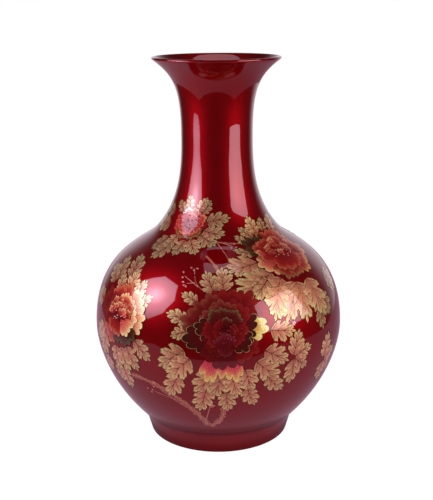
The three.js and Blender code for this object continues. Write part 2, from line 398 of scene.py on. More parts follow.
def build_body():
    """The clay sections, the slip between them, the coat and the glazes."""
    clay, slip, red, glaze = biscuit(), dried_slip(), pearl_red(), clear_glaze()
    foot_top, bowl_bottom = FOOT_JOINT - SLIP / 2, FOOT_JOINT + SLIP / 2
    belly_low, belly_high = BELLY[1] - SLIP / 2, BELLY[1] + SLIP / 2
    neck_low, neck_high = SHOULDER[1] - SLIP / 2, SHOULDER[1] + SLIP / 2
    belly_middle = BELLY[0] - WALLS[1] / 2
    coat_end = HEIGHT - COAT_DEPTH
    lip_outside = CLAY_OUTSIDE[-1][1]
    lip_inside = CLAY_INSIDE[-1][1]
    lower_edge = bowl_edge(belly_low, belly_middle - SLIP / 2)
    upper_edge = bowl_edge(belly_high, belly_middle + SLIP / 2)

    foot = [(FOOT_RADIUS - GLAZE - FOOT_EDGE, 0)]
    foot += [*between(CLAY_OUTSIDE, FOOT_EDGE, foot_top), (FOOT_INNER_RADIUS, foot_top)]
    foot += [(FOOT_INNER_RADIUS, FOOT_EDGE), (FOOT_INNER_RADIUS + FOOT_EDGE, 0)]
    turned("foot_ring", foot, clay)

    seam = [*between(CLAY_OUTSIDE, foot_top, bowl_bottom)]
    seam += [(FOOT_INNER_RADIUS, bowl_bottom), (FOOT_INNER_RADIUS, foot_top)]
    turned("foot_slip_seam", seam, slip)

    bowl = [(0, bowl_bottom), *between(CLAY_OUTSIDE, bowl_bottom, belly_low)[:-1], *lower_edge]
    bowl += [*down(between(CLAY_INSIDE, CLAY_INSIDE[0][1], belly_low + BELLY_STEP))[1:]]
    turned("lower_bowl", bowl, clay)
    turned("belly_slip_seam", [*lower_edge, *down(upper_edge)], slip)

    bowl = [*down(upper_edge), *between(CLAY_OUTSIDE, belly_high, neck_low)[1:]]
    bowl += [*down(between(CLAY_INSIDE, belly_high + BELLY_STEP, neck_low))[:-1]]
    turned("upper_bowl", bowl, clay)

    seam = [*between(CLAY_OUTSIDE, neck_low, neck_high)]
    seam += [*down(between(CLAY_INSIDE, neck_low, neck_high))]
    turned("neck_slip_seam", seam, slip)

    neck = [*between(CLAY_OUTSIDE, neck_high, lip_outside), *lip_arc(LIP_ROUND - GLAZE)]
    neck += [*down(between(CLAY_INSIDE, neck_high, lip_inside))]
    turned("neck", neck, clay)

    coat = [*between(OUTSIDE, FOOT_EDGE, OUTSIDE[-1][1]), *lip_arc(LIP_ROUND)]
    coat += [*down(between(INSIDE, coat_end, INSIDE[-1][1]))]
    coat += [*between(CLAY_INSIDE, coat_end, lip_inside), *down(lip_arc(LIP_ROUND - GLAZE))]
    coat += [*down(between(CLAY_OUTSIDE, FOOT_EDGE, lip_outside))]
    turned("red_coat", coat, red)

    liner = [*between(CLAY_INSIDE, CLAY_INSIDE[0][1], coat_end)]
    liner += [*down(between(INSIDE, FLOOR_TOP, coat_end))]
    turned("liner_glaze", liner, glaze)
    base = [(0, bowl_bottom - GLAZE), (BASE_GLAZE_RADIUS, bowl_bottom - GLAZE)]
    base += [(BASE_GLAZE_RADIUS, bowl_bottom), (0, bowl_bottom)]
    turned("base_glaze", base, glaze)


# ---- Printed film: leaves, petals and branches on the coat ----

FILM_LIFT = 0.12
LEAF_LAYER = 0.03
LEAF_LAYERS = 12
PETAL_LIFT = 0.55
PETAL_LAYER = 0.03
OUTLINE = 0.4
SKIRT = -0.1
BUD_RISE = 0.45

LEAF_LINE = srgb(72, 26, 18)
PETAL_LINE = srgb(60, 8, 10)
PALE_LINE = srgb(205, 170, 120)
BRANCH_COLOUR = srgb(196, 108, 86)
BUD_COLOUR = srgb(226, 132, 124)
BLOSSOM_COLOUR = srgb(250, 206, 196)
STAMEN_COLOUR = srgb(238, 178, 160)

# Petal colours at the base, the middle and the rim, and of the outline.
PETALS = {
    "red": (srgb(100, 3, 7), srgb(124, 6, 10), srgb(146, 30, 24), PETAL_LINE),
    "deep": (srgb(88, 2, 6), srgb(100, 4, 8), srgb(116, 14, 14), PETAL_LINE),
    "dusk": (srgb(92, 2, 5), srgb(88, 4, 6), srgb(42, 28, 10), PALE_LINE),
    "umber": (srgb(96, 4, 7), srgb(112, 14, 12), srgb(146, 66, 46), PETAL_LINE),
    "moss": (srgb(90, 4, 6), srgb(94, 18, 14), srgb(120, 94, 60), PETAL_LINE),
    "plum": (srgb(96, 5, 14), srgb(110, 12, 26), srgb(140, 50, 58), PETAL_LINE),
    "green": (srgb(92, 5, 9), srgb(70, 14, 8), srgb(84, 70, 28), LEAF_LINE),
    "rose": (srgb(190, 20, 50), srgb(220, 70, 84), srgb(240, 222, 122), PETAL_LINE),
    # lemon is a pale yellow-green. On the centre flower it carries a painted highlight.
    "lemon": (srgb(176, 50, 24), srgb(234, 204, 102), srgb(246, 248, 160), LEAF_LINE),
    "peach": (srgb(186, 36, 40), srgb(216, 104, 80), srgb(240, 196, 128), LEAF_LINE),
    "ember": (srgb(142, 12, 16), srgb(172, 32, 28), srgb(202, 110, 66), PETAL_LINE),
    "salmon": (srgb(152, 20, 22), srgb(188, 52, 42), srgb(218, 148, 102), PETAL_LINE),
    "olive": (srgb(140, 14, 20), srgb(138, 34, 26), srgb(132, 116, 50), LEAF_LINE),
    "gilt": (srgb(160, 24, 32), srgb(180, 46, 46), srgb(222, 178, 88), LEAF_LINE),
    "bronze": (srgb(146, 10, 18), srgb(154, 26, 24), srgb(156, 112, 62), LEAF_LINE),
    "butter": (srgb(206, 50, 54), srgb(236, 150, 104), srgb(252, 234, 166), LEAF_LINE),
    "blush": (srgb(170, 24, 30), srgb(216, 130, 112), srgb(248, 232, 206), PETAL_LINE),
    "scarlet": (srgb(136, 8, 14), srgb(170, 20, 24), srgb(206, 74, 60), PETAL_LINE),
}

LEAF_INK = leaf_ink()
PETAL_INK = petal_ink()
BARK_INK = bark_ink()


class Film:
    """Thin printed shapes round one place on the vase, gathered into one mesh. Lengths are in mm."""

    def __init__(self, azimuth, height, seed):
        self.azimuth, self.height = azimuth, height
        self.points, self.faces, self.tints = [], [], []
        self.count = 0
        self.leaves, self.petals = 0, 0
        self.chance = random.Random(seed)

    def grid(self, x, y, lift, tint):
        """A sheet of [row, column] points. It is turned to face outward."""
        x, y = np.asarray(x, float), np.asarray(y, float)
        lift = np.broadcast_to(lift, x.shape)
        tint = np.broadcast_to(tint, (*x.shape, 3))
        down_row = np.diff(x, axis=0)[:, :-1], np.diff(y, axis=0)[:, :-1]
        along = np.diff(x, axis=1)[:-1], np.diff(y, axis=1)[:-1]
        if np.sum(down_row[0] * along[1] - down_row[1] * along[0]) < 0:
            x, y, lift, tint = x[:, ::-1], y[:, ::-1], lift[:, ::-1], tint[:, ::-1]
        rows, columns = x.shape
        number = np.arange(rows * columns).reshape(rows, columns) + self.count
        corners = [number[:-1, :-1], number[1:, :-1], number[1:, 1:], number[:-1, 1:]]
        self.faces += np.stack(corners, axis=-1).reshape(-1, 4).tolist()
        self.points.append(on_vase(self.azimuth, self.height, x, y, lift).reshape(-1, 3))
        self.tints.append(tint.reshape(-1, 3))
        self.count += rows * columns

    def rim(self, x, y, lift, tint, inner):
        """A dark line just outside a shape, and the edge of the film under it. Rays run outward."""
        across = np.stack([x[-1] - inner[0], y[-1] - inner[1]])
        across /= np.maximum(np.linalg.norm(across, axis=0), 0.01)
        edge_x, edge_y = x[-1] + across[0] * OUTLINE, y[-1] + across[1] * OUTLINE
        ground = lift - 0.012
        self.grid([x[-2], x[-1], edge_x], [y[-2], y[-1], edge_y], ground, tint)
        self.grid([edge_x, edge_x + across[0] * 0.02], [edge_y, edge_y + across[1] * 0.02],
                  [[ground], [SKIRT]], tint)

    def stroke(self, x, y, widths, lift, tint):
        """A line of changing width."""
        line = np.stack([np.asarray(x, float), np.asarray(y, float)], axis=1)
        side = left_of(line) * np.broadcast_to(widths, len(line))[:, None] / 2
        edges = [line + side, line, line - side]
        rise = np.array([[-0.02], [0.0], [-0.02]]) + lift
        self.grid([edge[:, 0] for edge in edges], [edge[:, 1] for edge in edges], rise, tint)

    def dot(self, x, y, radius, lift, tint):
        turns = np.linspace(0, 2 * math.pi, 9)
        reach = np.array([0.1, 0.75, 1.0])[:, None] * radius
        self.grid(x + reach * np.cos(turns), y + reach * np.sin(turns), [[lift], [lift], [SKIRT]], tint)

    def join(self, other):
        """Takes another place's shapes into this mesh."""
        self.faces += [[corner + self.count for corner in face] for face in other.faces]
        self.points += other.points
        self.tints += other.tints
        self.count += other.count

    def made(self, name, material, slot, *nodes):
        piece = new_piece(name, np.vstack(self.points), self.faces, material)
        tints = np.hstack([np.vstack(self.tints), np.ones((self.count, 1))])
        layer = piece.data.attributes.new("tint", "FLOAT_COLOR", "POINT")
        layer.data.foreach_set("color", tints.astype(np.float32).ravel())
        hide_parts(*nodes)
        return piece


def ramp(share, *colours):
    """Colours at evenly spaced stops, for shares from 0 to 1."""
    stops = np.linspace(0, 1, len(colours))
    return np.stack([np.interp(share, stops, [colour[k] for colour in colours]) for k in range(3)], axis=-1)


def turned_to(angle, u, v, x, y):
    """Points given along and across a direction, moved to where they belong."""
    along, across = heading(angle), heading(angle + 90)
    return x + u * along[0] + v * across[0], y + u * along[1] + v * across[1]


LEAF_LOBES = 3.5  # on each side, the last half lobe being the tip
LEAF_TEETH = 3


def leaf(film, x, y, angle, length, width=1.1, gold=0.5, light=1.0):
    """A lobed and toothed leaf that grows from a point in a direction. A light below 1 darkens all its
    colours as painted shade.
    """
    chance = film.chance
    lift = FILM_LIFT + LEAF_LAYER * (film.leaves % LEAF_LAYERS)
    film.leaves += 1
    bend = chance.uniform(-0.16, 0.16)
    gold = min(1.0, max(0.0, gold + chance.uniform(-0.22, 0.22)))
    # A light below 1 is painted shade: it darkens leaves that lie where the vase looks dim. The random part
    # is the print's own tone.
    shade = light * chance.uniform(0.86, 1.08)
    phase = np.linspace(0, LEAF_LOBES, round(LEAF_LOBES * LEAF_TEETH * 4) + 1)
    t = phase / LEAF_LOBES
    turn = np.radians(86 * (1 - t))
    reach = length * np.interp(t, [0, 0.2, 0.5, 0.8, 1], [0.15, 0.40, 0.46, 0.36, 0.27])
    reach *= 1 - 0.52 * np.abs(np.cos(math.pi * phase)) ** 7
    reach *= 0.85 + 0.15 * np.abs(np.sin(LEAF_TEETH * math.pi * phase)) ** 0.9
    shares = np.array([0, 0.25, 0.5, 0.72, 0.88, 1.0])[:, None]
    inner = ramp(gold, srgb(190, 104, 84), srgb(202, 132, 92)) * shade
    middle = ramp(gold, srgb(222, 160, 122), srgb(226, 180, 124)) * shade
    outer = ramp(gold, srgb(226, 212, 136), srgb(230, 230, 146)) * shade
    # The tip is more golden than the base.
    ripe = np.clip(shares**1.8 * 0.85 + 0.3 * (t - 0.35), 0, 1)
    tint = ramp(ripe, inner, middle, outer)
    vein_turns = (0.5, 1.5, 2.5)
    for side in (1, -1):
        slant = 1 + side * chance.uniform(-0.08, 0.08)

        def place(u, v):
            return turned_to(angle, u, side * v * width * slant + bend * u * u / length, x, y)

        spine = 0.75 * length * t
        rays = place(spine + shares * reach * np.cos(turn), shares * reach * np.sin(turn))
        film.rim(*rays, lift, LEAF_LINE, place(spine, 0 * spine))
        film.grid(*rays, lift + 0.05 * (1 - shares**2), tint)
        for lobe in vein_turns:
            start = 0.75 * length * (lobe - 0.42) / LEAF_LOBES
            far = np.linspace(0, 0.86, 6)
            ray = np.interp(lobe, phase, reach) * far
            slope = np.interp(lobe, phase, turn)
            root = start + (0.75 * length * lobe / LEAF_LOBES - start) * far**0.6
            widths = np.interp(far, [0, 0.86], [0.55, 0.25])
            vein = root + ray * math.cos(slope), ray * math.sin(slope)
            film.stroke(*place(*vein), widths, lift + 0.07, LEAF_LINE)
            for fork, lean in [(2, 0.5), (3, -0.5), (4, 0.45)]:
                short = np.linspace(0, 0.36, 4) * reach.max() * (1 - 0.15 * fork)
                u = vein[0][fork] + short * math.cos(slope + lean)
                v = vein[1][fork] + short * math.sin(slope + lean)
                film.stroke(*place(u, v), 0.28, lift + 0.072, LEAF_LINE)
    along = np.linspace(0.02, 0.95, 8)
    bowed = turned_to(angle, along * length, bend * along**2 * length, x, y)
    film.stroke(*bowed, np.interp(along, [0, 1], [0.85, 0.3]), lift + 0.075, LEAF_LINE)


def petal(film, x, y, angle, length, style, half_angle=48, scallops=4, layers=1.0):
    """A scalloped fan that grows from a point in a direction."""
    chance = film.chance
    lift = PETAL_LIFT + PETAL_LAYER * film.petals
    film.petals += layers
    base, middle, rim, line = PETALS[style]
    u = np.linspace(-1, 1, scallops * 8 + 1)
    skew = chance.uniform(-0.1, 0.1)
    reach = length * (1 - (0.16 + skew) * u**2 - skew * u)
    shift = chance.uniform(-0.15, 0.15)
    reach *= 0.84 + 0.16 * np.abs(np.sin(math.pi * scallops * (u + 1) / 2)) ** 0.6
    reach *= 1 + 0.06 * np.sin(5 * u + 20 * shift)
    shares = np.array([0.05, 0.25, 0.45, 0.62, 0.76, 0.88, 1.0])[:, None]
    turn = np.radians(angle + half_angle * u)
    rays = x + shares * reach * np.cos(turn), y + shares * reach * np.sin(turn)
    near_edge = shares**2.2 * (1 - 0.25 * np.abs(u) ** 3)
    film.rim(*rays, lift, line, (x, y))
    film.grid(*rays, lift + 0.12 * shares * (1 - shares), ramp(near_edge, base, middle, rim))
    for crease in range(1, scallops):
        place = 2 * crease / scallops - 1
        far = np.linspace(0.55, 0.93, 4)
        ray = np.interp(place, u, reach) * far
        slope = math.radians(angle + half_angle * place)
        dark = ramp(0.35, base, PETAL_LINE)
        line = x + ray * math.cos(slope), y + ray * math.sin(slope)
        film.stroke(*line, [0.15, 0.3, 0.4, 0.5], lift + 0.06, dark)


def underlay(film, x, y, reach, style, many=8):
    """A ring of petals that fills a flower under its own."""
    for step in range(many):
        length = reach * film.chance.uniform(0.92, 1.05)
        petal(film, x, y, 360 * step / many + 10, length, style, 34, 4, 0.5)


def stamens(film, x, y, across, up, many, colour=STAMEN_COLOUR, radius=0.55):
    """Small pale dots scattered over an oval."""
    lift = PETAL_LIFT + PETAL_LAYER * film.petals + 0.05
    for _ in range(many):
        turn = film.chance.uniform(0, 2 * math.pi)
        far = math.sqrt(film.chance.random())
        size = radius * film.chance.uniform(0.7, 1.3)
        film.dot(x + far * across * math.cos(turn), y + far * up * math.sin(turn), size, lift, colour)


def branch(film, points, widths, colour=BRANCH_COLOUR):
    """A knotty stem through points [x, y], smooth between them."""
    points = np.array(points, float)
    run = distances(points)
    even = np.linspace(0, run[-1], max(8, int(run[-1] / 2)))
    x, y = (np.interp(even, run, points[:, axis]) for axis in (0, 1))
    soft = np.ones(5) / 5
    x, y = (np.convolve(np.pad(line, 2, mode="edge"), soft, "valid") for line in (x, y))
    wide = np.interp(even / run[-1], np.linspace(0, 1, len(widths)), widths)
    knots = 0.85 + 0.3 * np.array([film.chance.uniform(-1, 1) for _ in even])
    film.stroke(x, y, wide * knots + 0.5, FILM_LIFT - 0.02, LEAF_LINE)
    film.stroke(x, y, wide * knots, FILM_LIFT, colour)
    if widths[0] > 2:
        side = left_of(np.stack([x, y], axis=1)) * wide[:, None]
        for share in (-0.22, 0.16, 0.32):
            wander = share + 0.1 * np.array([film.chance.uniform(-1, 1) for _ in even])
            streak = x + side[:, 0] * wander, y + side[:, 1] * wander
            film.stroke(*streak, wide * 0.07, FILM_LIFT + 0.03, LEAF_LINE)


def twig(film, points, buds=3):
    """A thin stem that ends in a few buds."""
    branch(film, points, [0.9, 0.5], BUD_COLOUR)
    x, y = points[-1]
    for _ in range(buds):
        angle = film.chance.uniform(0, 360)
        bud(film, *(np.array([x, y]) + heading(angle, 1.6)), angle)


def blossom(film, x, y):
    """A small pale flower of five petals."""
    for step in range(5):
        angle = 72 * step + film.chance.uniform(-12, 12)
        bud(film, *(np.array([x, y]) + heading(angle, 0.3)), angle, 1.9, BLOSSOM_COLOUR)


def bud(film, x, y, angle, length=2.6, colour=BUD_COLOUR):
    u = np.linspace(-1, 1, 7)
    shares = np.array([0.1, 1.0])[:, None]
    turn = np.radians(angle + 40 * u)
    reach = length * (1 - 0.5 * u**2)
    rays = x + shares * reach * np.cos(turn), y + shares * reach * np.sin(turn)
    film.grid(*rays, FILM_LIFT + BUD_RISE, colour)


SWAY = 9.0  # how far leaves and petals stray from even spacing, in degrees

# How far each front flower reaches from its middle.
NECK_SIZE = 20.0
RIGHT_SIZE = 42.0
LEFT_SIZE = 39.0
CENTRE_SIZE = 43.0


# The place of the branch's film and the root of its stem there, as in the CAD transfer.
BRANCH_PLACE = (-21, 80)
BRANCH_ROOT = (26, -44)
CENTRE_RISE = 15  # how far the centre flower lies above the middle of its transfer
RIGHT_RISE = 7


def spray_place(transfer, rise=0.0):
    """The azimuth and height of the middle of a CAD transfer, raised to where its flower lies."""
    low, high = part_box(transfer)
    middle = (low + high) / 2
    return math.degrees(math.atan2(middle.x, -middle.y)), middle.z / METRES + rise


def leaf_arc(film, centre, ring, turns, many, reach, **looks):
    """Leaves that grow outward from an arc round a point. Turns and reach are [from, to]."""
    chance = film.chance
    for turn in np.linspace(*turns, many):
        root = np.array(centre) + heading(turn + chance.uniform(-SWAY, SWAY), ring)
        leaf(film, *root, turn + chance.uniform(-SWAY, SWAY), chance.uniform(*reach), **looks)


def petal_ring(flower, start, reach, many, tones, flat=0.0, scallops=4):
    """Petals spaced evenly round the middle, each in the style named nearest its direction.

    A flat flower has shorter petals above and below than at its sides.
    """
    chance = flower.chance
    for step in range(many):
        angle = 360 * step / many + chance.uniform(-SWAY, SWAY)
        nearest = min(tones, key=lambda toward: abs((angle - toward + 180) % 360 - 180))
        squash = 1 - flat * math.sin(math.radians(angle)) ** 2
        root = heading(angle, start * squash)
        length = reach * squash * chance.uniform(0.88, 1.06)
        petal(flower, *root, angle, length, tones[nearest], 42, scallops)


def peony(flower, size, outer, inner, ground, flat=0.0):
    """A ground of petals, then an outer and an inner ring that leave the heart open."""
    underlay(flower, 0, 0, size * 0.7, ground)
    petal_ring(flower, size * 0.3, size * 0.7, 9, outer, flat)
    petal_ring(flower, size * 0.16, size * 0.56, 8, inner, flat)


def ruffles(flower, across, up, reach, styles):
    """Four rows of small petals over the heart of a flower."""
    chance = flower.chance
    for row, share in enumerate((1.0, 0.6, 0.2, -0.2)):
        half = across * (1 - 0.4 * share**2)
        for step in range(5):
            aside = half * (step / 2 - 1) + chance.uniform(-1.5, 1.5)
            angle = 90 - aside * 4 + chance.uniform(-18, 18)
            style = styles[(row + step) % len(styles)]
            petal(flower, aside, up * share, angle, chance.uniform(*reach), style, 42, 3, 0.5)


def neck_peony():
    """The small flower at the foot of the neck, with leaves that trail to the left."""
    place = spray_place("neck_peony_transfer")
    film = Film(*place, 3)
    # A light below 1 gives these leaves painted shade, and the trailing ones the most.
    leaf_arc(film, (0, 0), NECK_SIZE * 1.4, (165, 245), 4, (20, 28), width=0.95, light=0.7)
    leaf_arc(film, (0, 0), NECK_SIZE * 0.9, (-125, 15), 6, (16, 23), light=0.86)
    leaf_arc(film, (0, 0), NECK_SIZE * 0.85, (45, 125), 4, (12, 16), light=0.86)
    film.made("neck_peony_leaves", LEAF_INK, "peony_film", "neck_peony_transfer")

    flower = Film(*place, 5)
    outer = {-40: "olive", -110: "olive", 0: "red", 60: "salmon", 115: "blush", 180: "scarlet"}
    inner = {90: "salmon", 0: "scarlet", 180: "scarlet", -90: "ember"}
    peony(flower, NECK_SIZE, outer, inner, "scarlet", 0.15)
    stamens(flower, 0, 2, 14, 11, 26, PETAL_LINE, 0.6)
    stamens(flower, 0, 2, 15, 12, 55, srgb(240, 186, 166), 0.45)
    flower.made("neck_peony_petals", PETAL_INK, "peony_film", "neck_peony_transfer")


def right_peony():
    """The open flower on the right shoulder, over broad gold leaves."""
    place = spray_place("right_peony_transfer", RIGHT_RISE)
    film = Film(*place, 7)
    # A light below 1 gives these lower right leaves painted shade.
    leaf_arc(film, (0, 0), RIGHT_SIZE * 1.4, (-75, -45), 3, (24, 34), light=0.72)
    leaf_arc(film, (0, 0), RIGHT_SIZE * 0.85, (-165, -80), 6, (32, 44), gold=0.6)
    leaf_arc(film, (0, 0), RIGHT_SIZE * 1.1, (-155, -125), 3, (28, 44), width=1.0, gold=1.0)
    leaf_arc(film, (0, 0), RIGHT_SIZE * 0.75, (65, 165), 6, (15, 22), gold=0.9)
    film.made("right_peony_leaves", LEAF_INK, "peony_film", "right_peony_transfer")

    flower = Film(*place, 9)
    outer = {0: "salmon", 45: "salmon", 100: "ember", 145: "green"}
    outer.update({180: "peach", -120: "bronze", -45: "gilt"})
    inner = {0: "ember", 90: "salmon", 180: "ember", -90: "ember"}
    peony(flower, RIGHT_SIZE, outer, inner, "ember", 0.25)
    ruffles(flower, 20, 12, (8, 11), ("salmon", "ember", "peach"))
    stamens(flower, 0, 2, 16, 8, 24, srgb(232, 176, 132), 0.5)
    flower.made("right_peony_petals", PETAL_INK, "peony_film", "right_peony_transfer")


def left_peony():
    """The flower at the left side, with pale petals towards the front."""
    place = spray_place("left_peony_transfer")
    film = Film(*place, 13)
    # A light below 1 gives these upper left leaves painted shade.
    leaf_arc(film, (0, 0), LEFT_SIZE, (100, 165), 4, (24, 31), light=0.72)
    leaf_arc(film, (0, 0), LEFT_SIZE * 1.4, (-110, -80), 3, (18, 30))
    leaf_arc(film, (0, 0), LEFT_SIZE * 0.85, (-140, -40), 6, (25, 31))
    leaf_arc(film, (0, 0), LEFT_SIZE * 0.6, (40, 115), 4, (19, 25))
    film.made("left_peony_leaves", LEAF_INK, "peony_film", "left_peony_transfer")

    flower = Film(*place, 15)
    outer = {0: "butter", 40: "butter", 90: "ember", 140: "olive", 180: "red", -120: "ember", -45: "green"}
    inner = {0: "butter", 60: "peach", 180: "red", -90: "ember"}
    peony(flower, LEFT_SIZE, outer, inner, "red", 0.2)
    ruffles(flower, 11, 9, (7, 10), ("peach", "ember", "salmon"))
    stamens(flower, 0, 1, 14, 11, 30)
    flower.made("left_peony_petals", PETAL_INK, "peony_film", "left_peony_transfer")


def centre_peony():
    """The largest flower, dark red, in the middle of the front, ringed by leaves."""
    place = spray_place("centre_peony_transfer", CENTRE_RISE)
    film = Film(*place, 17)
    leaf_arc(film, (0, 0), CENTRE_SIZE * 0.85, (90, 185), 5, (16, 27))
    leaf_arc(film, (0, 0), CENTRE_SIZE * 1.55, (-125, -55), 5, (24, 34))
    leaf_arc(film, (0, 0), CENTRE_SIZE * 1.05, (-150, -10), 9, (24, 33))
    film.made("centre_peony_leaves", LEAF_INK, "peony_film", "centre_peony_transfer")

    flower = Film(*place, 19)
    for side in (-1, 1):
        petal(flower, 7 * side - 3, -14, 6 * side - 92, CENTRE_SIZE * 0.9, "rose", 24, 4)
    # The lemon petal at 20 degrees is a real petal painted with a highlight: its pale yellow stands in for
    # the window's reflection on it.
    outer = {20: "lemon", 70: "red", 110: "umber", 155: "umber"}
    outer.update({180: "dusk", -100: "deep", -60: "red", -20: "green"})
    inner = {20: "red", 90: "umber", 180: "dusk", -90: "deep", -20: "dusk"}
    heart = {90: "moss", 0: "red", 180: "red", -90: "deep"}
    peony(flower, CENTRE_SIZE, outer, inner, "deep", 0.1)
    petal_ring(flower, 7, 15, 8, heart)
    petal_ring(flower, 2, 11, 5, heart, scallops=3)
    for angle in range(40, 160, 15):
        petal(flower, 0, -18, angle, 13 + 3 * flower.chance.random(), "plum", 8, 2, 0.3)
    for angle in range(200, 340, 28):
        petal(flower, 0, -18, angle, 8, "plum", 14, 2, 0.3)
    stamens(flower, 6, -2, 16, 12, 22, srgb(196, 92, 84), 0.4)
    flower.made("centre_peony_petals", PETAL_INK, "peony_film", "centre_peony_transfer")


def side_leaves():
    """Two small sprays of leaves to the right of the centre flower."""
    film = Film(44, 112, 23)
    for side in (-1, 1):
        leaf_arc(film, (24 * side, -8 * side), 3, (-90, 75), 4, (19, 27))
    film.made("side_leaf_spray", LEAF_INK, "gilt_film", "side_leaf_transfer")


def grown(root, angle, length, turn=0.0, steps=12):
    """A line that grows from a point in a direction and turns as it goes."""
    slopes = np.radians(angle + turn * np.linspace(0, 1, steps))
    strides = np.stack([np.cos(slopes), np.sin(slopes)], axis=1) * length / steps
    return np.vstack([root, np.array(root) + np.cumsum(strides, axis=0)])


def stem(film, root, angle, length, turn, widths):
    """A stem that grows from a point. It gives its line, for twigs to grow from."""
    line = grown(root, angle, length, turn)
    branch(film, line, widths)
    return line


def shoot(film, line, share, angle, length, turn=0.0, buds=3):
    """A twig that grows from a place along a stem. It gives its tip."""
    twig_line = grown(line[round(share * (len(line) - 1))], angle, length, turn)
    twig(film, twig_line, buds)
    return twig_line[-1]


def front_branches():
    """The forked stem under the flowers, and the thin twigs with buds."""
    film = Film(*BRANCH_PLACE, 29)
    trunk = stem(film, BRANCH_ROOT, 100, 108, 82, [9, 8, 7, 6, 5])
    stem(film, BRANCH_ROOT, 35, 64, 75, [6, 7, 6, 4])
    stem(film, trunk[7], 10, 20, 40, [3.5, 3, 2])
    for share, angle, length in ((0.25, 140, 50), (0.45, 165, 35), (0.1, 70, 32)):
        shoot(film, trunk, share, angle, length)

    centre = Film(*spray_place("centre_peony_transfer", CENTRE_RISE), 30)
    upper = stem(centre, (0, CENTRE_SIZE), 100, 40, 30, [2, 3.5, 3.5, 1.5])
    stem(centre, upper[5], 40, 32, -40, [1.5, 2.5, 1.5])
    side = stem(centre, (-14, CENTRE_SIZE * 0.8), 165, 26, -80, [0.9, 0.5])
    for share, angle, length in ((0.4, 140, 20), (0.7, 190, 10), (1.0, 90, 8)):
        shoot(centre, side, share, angle, length)
    spur = stem(centre, (CENTRE_SIZE + 8, 5), 10, 34, -20, [0.9, 0.5])
    for share, angle, length in ((0.25, 60, 10), (0.3, -45, 12), (0.75, 45, 7), (1.0, -10, 4)):
        blossom(centre, *shoot(centre, spur, share, angle, length, buds=0))
    film.join(centre)

    shoulder = Film(8, 222, 31)
    twig_line = stem(shoulder, (-32, 8), -15, 66, 15, [1.2, 1.6, 1.2])
    shoot(shoulder, twig_line, 0.3, -60, 30, -20, 4)
    shoot(shoulder, twig_line, 0.4, -25, 12)
    film.join(shoulder)
    film.made("branches", BARK_INK, "gilt_film", "branch_transfer")


def whole_peony(flower, size, styles):
    """Three rings of petals round a heart of stamens."""
    for ring, (many, reach, start) in enumerate([(9, 1.0, 0.24), (8, 0.72, 0.16), (6, 0.44, 0.06)]):
        for step in range(many):
            angle = 360 * (step + 0.5 * ring) / many + flower.chance.uniform(-9, 9)
            x, y = heading(angle, size * start)
            length = size * reach * flower.chance.uniform(0.68, 0.8)
            petal(flower, x, y, angle, length, flower.chance.choice(styles[ring]), 44, 5 - ring)
    stamens(flower, 0, 0, size * 0.22, size * 0.2, 30)


def back_peony():
    """A flower at the back like the one in front, among leaves."""
    film = Film(175, 150, 37)
    for step in range(14):
        angle = 360 * step / 14 + film.chance.uniform(-8, 8)
        x, y = heading(angle, 30)
        leaf(film, x, y, angle, film.chance.uniform(24, 34))
    leaf_arc(film, (0, 0), 58, (50, 100), 2, (22, 27))
    leaf_arc(film, (0, 0), 58, (-140, -45), 3, (25, 30))
    branch(film, [(-4, -108), (10, -84), (4, -58), (0, -40)], [6, 5, 4, 3])
    branch(film, [(4, -98), (-16, -80), (-34, -60), (-44, -44)], [3, 4, 3, 2])
    twig(film, [(12, -86), (26, -78), (36, -66)], 4)
    film.made("back_peony_leaves", LEAF_INK, "peony_film", "back_peony_transfer")

    flower = Film(175, 150, 41)
    styles = (("red", "ember", "rose", "dusk"), ("ember", "salmon", "lemon"), ("moss", "red", "plum"))
    whole_peony(flower, 42, styles)
    flower.made("back_peony_petals", PETAL_INK, "peony_film", "back_peony_transfer")


def back_spray(name, azimuth, turn, seed):
    """A side spray of leaves along a stem, with buds at its end."""
    film = Film(azimuth, 168, seed)
    lower = [heading(turn, -52), heading(turn - 14, -24)]
    upper = [heading(turn + 12, 30), heading(turn + 16, 52)]
    line = np.array([*lower, (0, 0), *upper])
    branch(film, line, [3.5, 3, 2.5, 2, 1.2])
    shares = np.linspace(0, 1, len(line))
    for step in range(9):
        root = [np.interp(step / 8, shares, line[:, axis]) for axis in (0, 1)]
        side = 1 if step % 2 else -1
        leaf(film, *root, turn + side * film.chance.uniform(35, 70), film.chance.uniform(20, 30))
    twig(film, [line[-1], line[-1] + heading(turn + 30, 12)], 5)
    twig(film, [line[-2], line[-2] + heading(turn - 30, 16)], 4)
    film.made(name, LEAF_INK, "gilt_film", name + "_transfer")


def build_film():
    neck_peony()
    right_peony()
    left_peony()
    centre_peony()
    side_leaves()
    front_branches()
    back_peony()
    back_spray("back_left_leaf", -118, 110, 43)
    back_spray("back_right_leaf", 118, 70, 47)


# ---- Studio ----

TABLE_WIDTH = 1.24
TABLE_FRONT = -0.45
TABLE_BACK = 1.6
FLOOR_REACH = 6.0
# Where the mirrored table's glow is dimmed round the foot: a painted shadow of the vase.
FOOT_SHADOW = (0.078, 0.09)

# Each soft box: its azimuth, its stand (distance at a height, that height, lean), its middle and
# size in metres, and the share of its sides that is cut off at the corners.
LEFT_AZIMUTH = -71
LEFT_STAND = (0.5, 0.23, 1.04)
LEFT_MIDDLE = (0.045, 0.345)
LEFT_BOX = (0.29, 0.25)
LEFT_CLIP = 0.3
LEFT_HOT_SPOT = (0.055, 0.37, 0.094)
RIGHT_AZIMUTH = 57
RIGHT_STAND = (0.9, 0, 0)
RIGHT_MIDDLE = (0.02, 0.49)
RIGHT_BOX = (0.74, 0.64)
RIGHT_CLIP = 0.12
RIGHT_HOT_SPOT = (-0.1, 0.5, 0.3)

CAMERA_PLACE = (-0.0014, -0.920, 0.450)
CAMERA_LENS = 64.66
CAMERA_PITCH = -15.3
CAMERA_ROLL = -0.44


